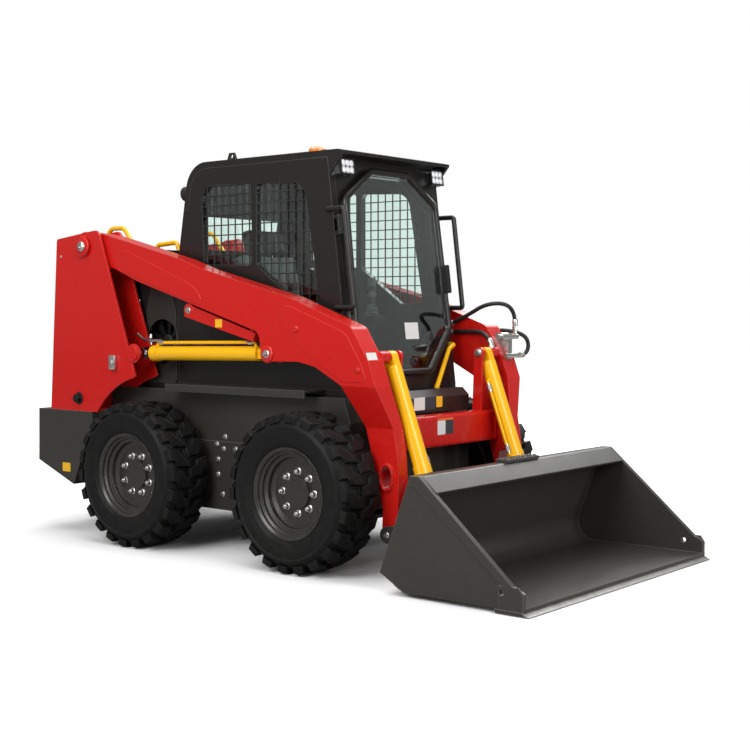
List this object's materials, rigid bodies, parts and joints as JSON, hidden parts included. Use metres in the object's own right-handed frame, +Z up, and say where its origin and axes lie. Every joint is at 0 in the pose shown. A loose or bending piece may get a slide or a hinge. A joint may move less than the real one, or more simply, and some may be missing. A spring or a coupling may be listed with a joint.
{
  "type": "skid steer loader",
  "caption": "Compact skid steer loader with red radius lift arms, a dark bucket on a quick-attach plate, a closed black cab and lugged tyres, parked with the bucket on the ground.",
  "frame": {"origin": "bottom centre of the whole machine's box, on the ground", "axes": "+X forward along the machine, +Y to the machine's left, +Z up"},
  "size_m": [3.492, 1.68, 2.086],
  "materials": {
    "paint_red": "glossy red paint",
    "paint_charcoal": "satin charcoal paint",
    "paint_black": "satin black paint",
    "paint_yellow": "glossy yellow paint",
    "chrome_rod": "hard chrome",
    "steel_worn": "worn bare steel",
    "zinc_steel": "zinc plated",
    "tyre_rubber": "black rubber",
    "hose_rubber": "black rubber",
    "glass_tint": "tinted safety glass",
    "lamp_lens": "clear lens",
    "amber_lens": "amber lens",
    "plastic_black": "textured black plastic",
    "seat_vinyl": "black vinyl",
    "engine_cast": "cast"
  },
  "bodies": {
    "chassis": {"main_frame": "paint_charcoal", "axle_housings": "paint_charcoal", "tower_right": "paint_red", "tower_left": "paint_red", "rear_bumper": "paint_charcoal", "engine_block": "engine_cast", "fenders": "paint_charcoal", "engine_hood": "paint_black", "cab_floor": "paint_black", "cab_side_right": "paint_black", "cab_side_left": "paint_black", "cab_rear": "paint_black", "cab_roof": "paint_black", "cab_glass": "glass_tint", "seat_base": "plastic_black", "seat": "seat_vinyl", "controls": "plastic_black", "cab_front": "paint_black", "work_lamps": "lamp_lens", "rear_lamps": "plastic_black", "hood_rails": "paint_yellow", "side_panels": "paint_black", "front_step": "paint_black", "step_bar": "paint_yellow", "guard_uprights": "paint_black", "guard_levels": "paint_black", "grab_handles": "paint_black", "beacon": "amber_lens", "hinges": "paint_black"},
    "cab_door": {"door_frame": "paint_black", "door_glass": "glass_tint", "door_latch": "plastic_black"},
    "rear_door_body": {"rear_door": "paint_black"},
    "lift_arms": {"arm_right": "paint_red", "arm_left": "paint_red", "crossbeam": "paint_red", "lock_strut": "paint_red", "couplers": "zinc_steel", "upper_hose": "hose_rubber", "side_hose": "hose_rubber", "tilt_hose": "hose_rubber"},
    "lift_barrels_body": {"lift_barrels": "paint_yellow"},
    "lift_rods_body": {"lift_rods": "chrome_rod"},
    "tilt_barrels_body": {"tilt_barrels": "paint_yellow"},
    "tilt_rods_body": {"tilt_rods": "chrome_rod"},
    "bucket": {"bucket_shell": "paint_charcoal", "cutting_edge": "steel_worn", "attach_plate": "paint_charcoal", "bucket_step": "paint_charcoal"},
    "wheel_front_right": {"tyre_front_right": "tyre_rubber", "rim_front_right": "paint_charcoal"},
    "wheel_front_left": {"tyre_front_left": "tyre_rubber", "rim_front_left": "paint_charcoal"},
    "wheel_rear_right": {"tyre_rear_right": "tyre_rubber", "rim_rear_right": "paint_charcoal"},
    "wheel_rear_left": {"tyre_rear_left": "tyre_rubber", "rim_rear_left": "paint_charcoal"}
  },
  "joints": [
    {"name": "arm_lift", "type": "hinge", "parent": "chassis", "child": "lift_arms", "pos_m": [-1.338, 0, 1.61], "axis": [0, -1, 0], "range_deg": [0, 63]},
    {"name": "bucket_tilt", "type": "hinge", "parent": "lift_arms", "child": "bucket", "pos_m": [0.769, 0, 0.203], "axis": [0, 1, 0], "range_deg": [-28, 100]},
    {"name": "lift_cylinder_swing", "type": "hinge", "parent": "lift_arms", "child": "lift_barrels_body", "pos_m": [0.062, 0, 1.041], "axis": [0, -1, 0], "range_deg": [0, 1.51]},
    {"name": "lift_cylinder_stroke", "type": "slide", "parent": "lift_barrels_body", "child": "lift_rods_body", "axis": [-0.9998, 0, -0.0174], "range_m": [0, 0.75569]},
    {"name": "tilt_cylinder_swing", "type": "hinge", "parent": "lift_arms", "child": "tilt_barrels_body", "pos_m": [0.673, 0, 1.034], "axis": [0, 1, 0], "range_deg": [-1.12, 4]},
    {"name": "tilt_cylinder_stroke", "type": "slide", "parent": "tilt_barrels_body", "child": "tilt_rods_body", "axis": [0.3457, 0, -0.9383], "range_m": [-0.085, 0.30356]},
    {"name": "cab_door_hinge", "type": "hinge", "parent": "chassis", "child": "cab_door", "pos_m": [0.47579, -0.426, 0.90337], "axis": [0.1249, 0, -0.9922], "range_deg": [0, 50]},
    {"name": "rear_door_hinge", "type": "hinge", "parent": "chassis", "child": "rear_door_body", "pos_m": [-1.679, 0.479, 1], "axis": [0, 0, -1], "range_deg": [0, 95]},
    {"name": "wheel_front_right", "type": "hinge", "parent": "chassis", "child": "wheel_front_right", "pos_m": [0.357, -0.675, 0.386], "axis": [0, 1, 0], "continuous": true},
    {"name": "wheel_front_left", "type": "hinge", "parent": "chassis", "child": "wheel_front_left", "pos_m": [0.357, 0.675, 0.386], "axis": [0, 1, 0], "continuous": true},
    {"name": "wheel_rear_right", "type": "hinge", "parent": "chassis", "child": "wheel_rear_right", "pos_m": [-0.803, -0.675, 0.386], "axis": [0, 1, 0], "continuous": true},
    {"name": "wheel_rear_left", "type": "hinge", "parent": "chassis", "child": "wheel_rear_left", "pos_m": [-0.803, 0.675, 0.386], "axis": [0, 1, 0], "continuous": true}
  ],
  "couplings": [
    {"joint": "lift_cylinder_swing", "follows": "arm_lift", "ratio": 0.023942},
    {"joint": "lift_cylinder_stroke", "follows": "arm_lift", "m_per_rad": 0.68727},
    {"joint": "tilt_cylinder_swing", "follows": "bucket_tilt", "ratio": 0.04},
    {"joint": "tilt_cylinder_stroke", "follows": "bucket_tilt", "m_per_rad": 0.17393}
  ]
}
